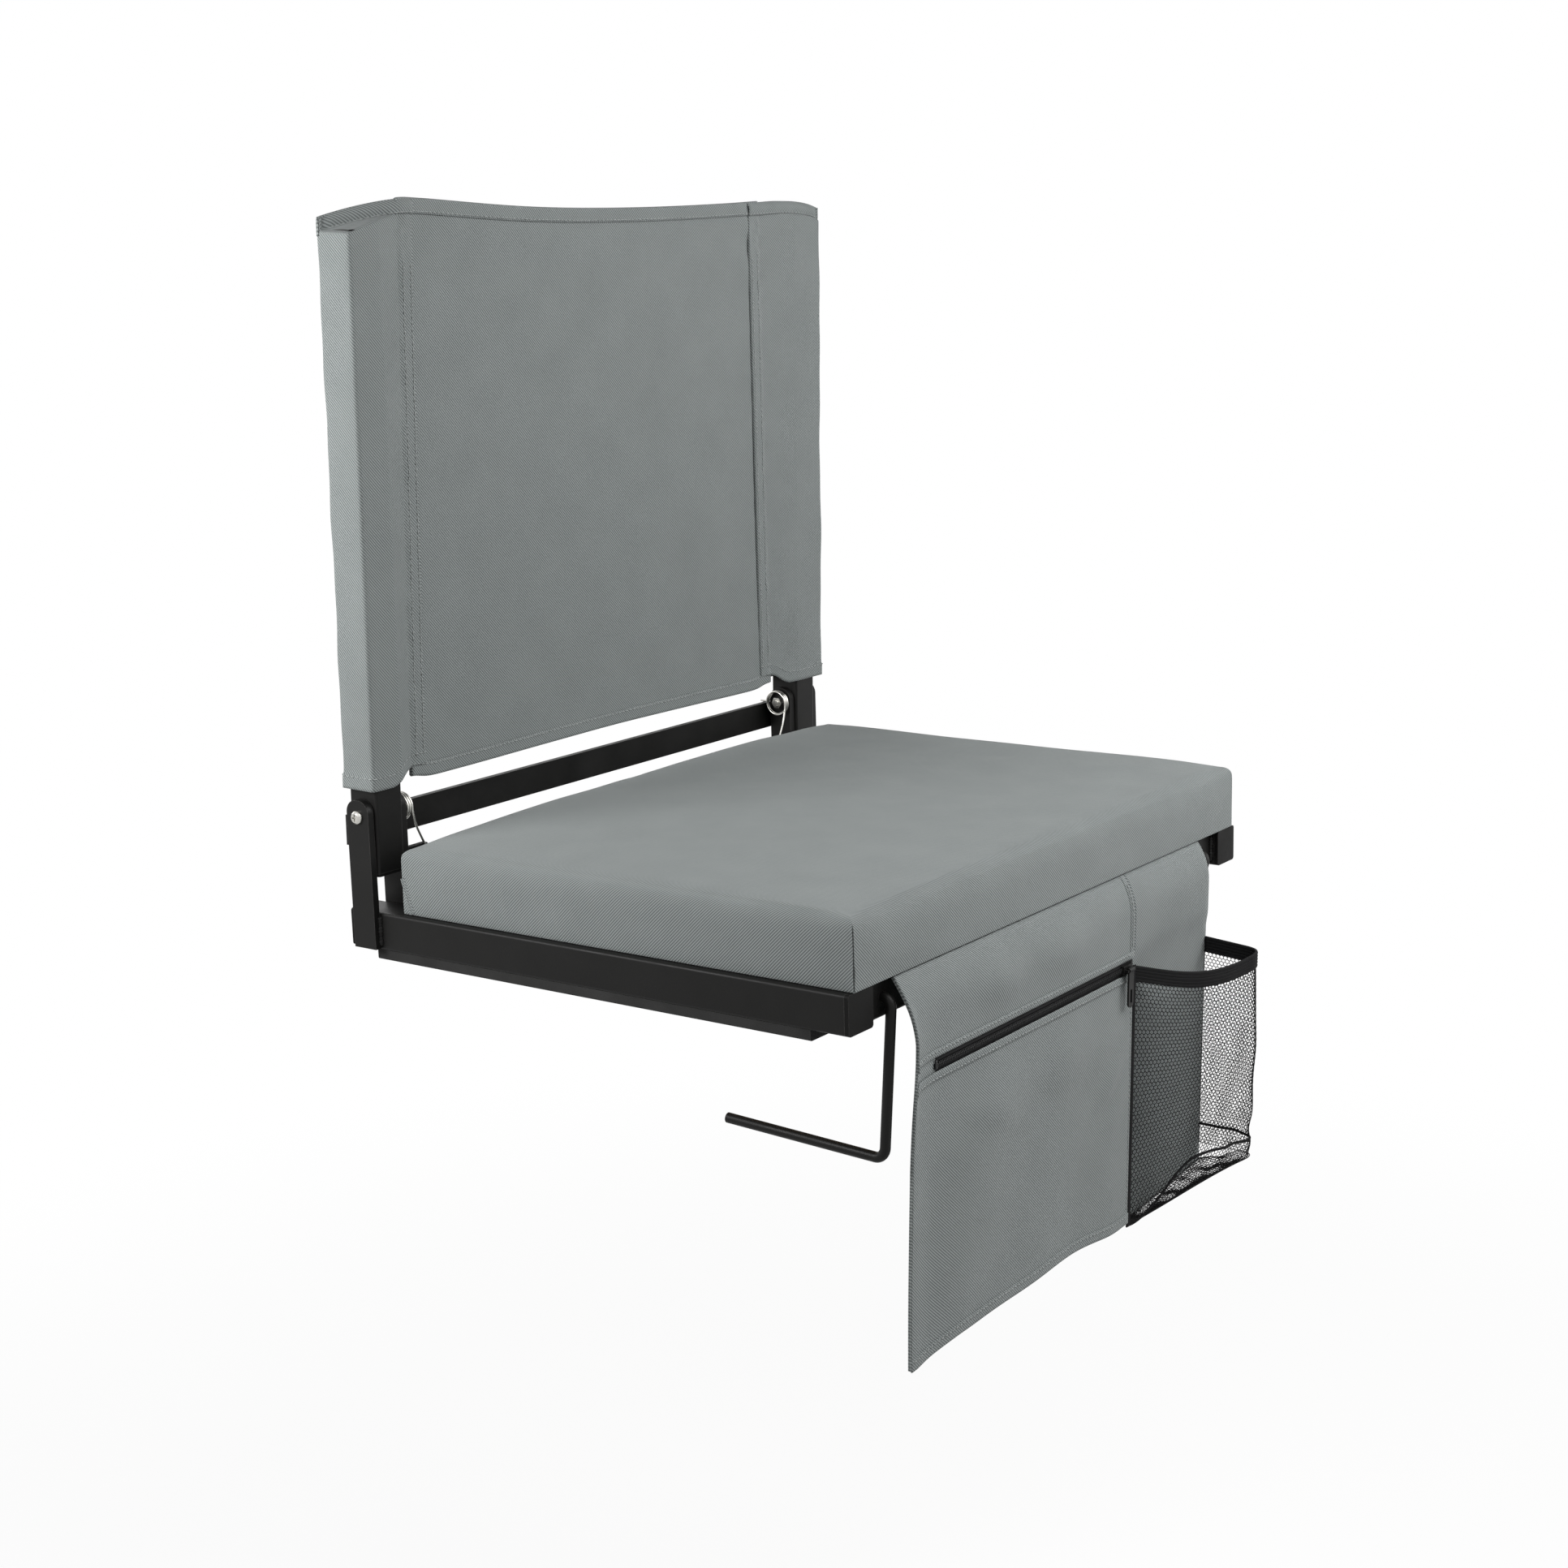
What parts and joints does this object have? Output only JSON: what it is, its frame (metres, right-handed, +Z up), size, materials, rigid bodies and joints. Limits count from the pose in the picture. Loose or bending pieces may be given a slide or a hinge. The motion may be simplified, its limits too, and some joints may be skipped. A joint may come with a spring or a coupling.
{
  "type": "folding stadium chair",
  "caption": "Folding stadium seat: padded cushion on a tube frame, sprung fold-down fabric back, swinging rod hooks that grip a bench, and a front flap with zipped and mesh pockets.",
  "frame": {"origin": "midway between the side rails and halfway along them, on the plane of the runners' undersides, which rest on the bench", "axes": "+Z up, the front of the seat faces -Y and the back is at +Y, +X runs to the side of the mesh pocket"},
  "size_m": [0.5056, 0.4402, 0.6948],
  "materials": {
    "frame_steel": "satin black powder coat on steel tube, bar and rod",
    "cap_plastic": "black moulded plastic",
    "runner_rubber": "black ribbed rubber",
    "zinc_steel": "zinc plated steel",
    "spring_steel": "zinc plated spring wire",
    "nylon": "natural nylon",
    "plywood": "unfinished plywood",
    "foam": "open cell foam",
    "grey_twill": "grey woven polyester twill",
    "black_tape": "black woven tape and elastic",
    "black_mesh": "black open polyester mesh",
    "zip_plastic": "black zip chain",
    "zip_metal": "black enamelled zip slider and pull"
  },
  "bodies": {
    "seat_body": {"rail_left": "frame_steel", "rail_right": "frame_steel", "front_cross_tube": "frame_steel", "rear_cross_tube": "frame_steel", "bracket_outer_left": "frame_steel", "bracket_outer_right": "frame_steel", "bracket_inner_left": "frame_steel", "bracket_inner_right": "frame_steel", "spring_tab_left": "frame_steel", "spring_tab_right": "frame_steel", "cap_front_left": "cap_plastic", "cap_front_right": "cap_plastic", "cap_rear_left": "cap_plastic", "cap_rear_right": "cap_plastic", "runner_left": "runner_rubber", "runner_right": "runner_rubber", "pivot_bolt_left": "zinc_steel", "pivot_bolt_right": "zinc_steel", "pivot_nut_left": "zinc_steel", "pivot_nut_right": "zinc_steel", "board_screw_1": "zinc_steel", "board_screw_2": "zinc_steel", "board_screw_3": "zinc_steel", "board_screw_4": "zinc_steel", "torsion_spring_left": "spring_steel", "torsion_spring_right": "spring_steel", "pivot_washer_outer_left": "nylon", "pivot_washer_outer_right": "nylon", "pivot_washer_inner_left": "nylon", "pivot_washer_inner_right": "nylon", "seat_board": "plywood", "seat_foam": "foam", "seat_cover": "grey_twill", "flap_hem": "grey_twill"},
    "back_body": {"upright_left": "frame_steel", "upright_right": "frame_steel", "plug_upper_left": "cap_plastic", "plug_upper_right": "cap_plastic", "plug_lower_left": "cap_plastic", "plug_lower_right": "cap_plastic", "stop_bar": "frame_steel", "back_sleeve_left": "grey_twill", "back_sleeve_right": "grey_twill", "back_panel": "grey_twill"},
    "left_hook_body": {"bench_hook_left": "frame_steel", "hook_washer_left": "zinc_steel"},
    "right_hook_body": {"bench_hook_right": "frame_steel", "hook_washer_right": "zinc_steel"},
    "flap_body": {"flap_panel": "grey_twill", "zip_pocket_panel": "grey_twill", "zip_tape": "black_tape", "zip_teeth": "zip_plastic", "zip_stop_left": "zip_plastic", "zip_stop_right": "zip_plastic", "mesh_pocket": "black_mesh", "pocket_binding": "black_tape"},
    "slider_body": {"zip_slider": "zip_metal"},
    "pull_body": {"zip_pull": "zip_metal"}
  },
  "joints": [
    {"name": "back_fold", "type": "hinge", "parent": "seat_body", "child": "back_body", "pos_m": [0, 0.1805, 0.0953], "axis": [1, 0, 0], "range_deg": [-7.3, 89], "stiffness_Nm_per_rad": 3, "springref_deg": -0.86, "deforming": ["torsion_spring_left", "torsion_spring_right"]},
    {"name": "left_hook_swing", "type": "hinge", "parent": "seat_body", "child": "left_hook_body", "pos_m": [-0.2015, -0.1785, 0.0195], "axis": [0, -1, 0], "range_deg": [-26, 86]},
    {"name": "right_hook_swing", "type": "hinge", "parent": "seat_body", "child": "right_hook_body", "pos_m": [0.2015, -0.1785, 0.0195], "axis": [0, 1, 0], "range_deg": [-62, 50]},
    {"name": "flap_lift", "type": "hinge", "parent": "seat_body", "child": "flap_body", "pos_m": [0, -0.1975, 0.031], "axis": [-1, 0, 0], "range_deg": [0, 90]},
    {"name": "zip_run", "type": "slide", "parent": "flap_body", "child": "slider_body", "axis": [-1, 0, 0], "range_m": [0, 0.225]},
    {"name": "pull_swing", "type": "hinge", "parent": "slider_body", "child": "pull_body", "pos_m": [0, -0.2095, -0.02935], "axis": [-1, 0, 0], "range_deg": [0, 150]}
  ]
}
